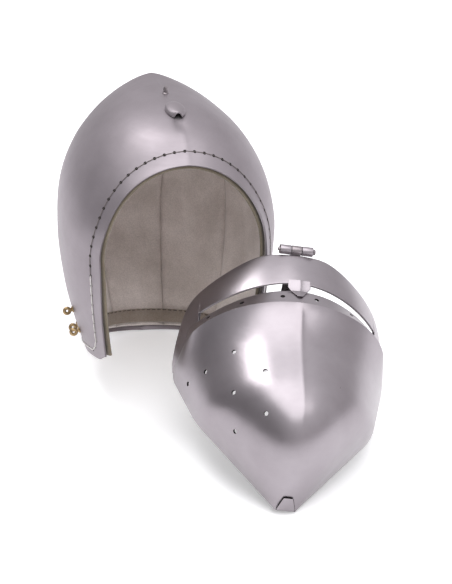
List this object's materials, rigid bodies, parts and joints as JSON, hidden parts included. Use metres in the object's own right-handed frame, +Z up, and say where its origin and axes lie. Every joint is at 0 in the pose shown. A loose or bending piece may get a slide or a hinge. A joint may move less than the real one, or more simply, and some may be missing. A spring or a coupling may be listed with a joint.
{
  "type": "visored bascinet helmet",
  "caption": "Pointed plate helmet with a stitched cloth lining and brass ring studs, its bulging pierced visor lifted off and set down in front with a loose hinge leaf.",
  "frame": {"origin": "middle of the footprint's bounding box, on the surface the nape and the visor's tip stand on", "axes": "+Z up, the helmet's face towards -Y, the wearer's left towards +X; the helmet leans back 23.8 degrees"},
  "size_m": [0.2866, 0.4328, 0.2742],
  "materials": {
    "skull_steel": "satin polished plate",
    "visor_steel": "bright polished plate",
    "hinge_steel": "satin steel, peened",
    "brass": "aged cast brass",
    "linen": "soft quilted lining cloth",
    "hem_cloth": "folded lining hem",
    "suede_edge": "pale suede binding",
    "thread": "waxed linen thread"
  },
  "bodies": {
    "skull": {"skull_bowl": "skull_steel", "visor_socket": "skull_steel", "catch_peg": "skull_steel", "liner_panel_1": "linen", "liner_panel_2": "linen", "liner_panel_3": "linen", "liner_panel_4": "linen", "liner_panel_5": "linen", "liner_hem": "hem_cloth", "liner_edge_binding": "suede_edge", "stitching_thread": "thread", "vervelle_01": "brass", "vervelle_02": "brass", "vervelle_03": "brass", "vervelle_04": "brass", "vervelle_05": "brass", "vervelle_06": "brass", "vervelle_07": "brass", "vervelle_08": "brass", "vervelle_09": "brass", "vervelle_10": "brass", "vervelle_11": "brass", "cheek_vervelle_left": "brass", "cheek_vervelle_right": "brass"},
    "visor": {"visor_brow_band": "visor_steel", "visor_mask": "visor_steel", "nasal_bridge": "visor_steel", "chin_tab": "visor_steel", "outer_knuckle_right": "visor_steel", "outer_knuckle_left": "visor_steel", "hinge_pin": "hinge_steel"},
    "hinge_leaf": {"hinge_leaf": "hinge_steel"}
  },
  "joints": [
    {"name": "visor_set_down", "type": "slide", "parent": "skull", "child": "visor", "axis": [0, -1, 0], "range_m": [0, 0.25]},
    {"name": "visor_hinge", "type": "hinge", "parent": "visor", "child": "hinge_leaf", "pos_m": [0.06732, -0.02324, 0.16521], "axis": [0.9713, -0.1438, -0.1893], "range_deg": [-25, 200]}
  ]
}
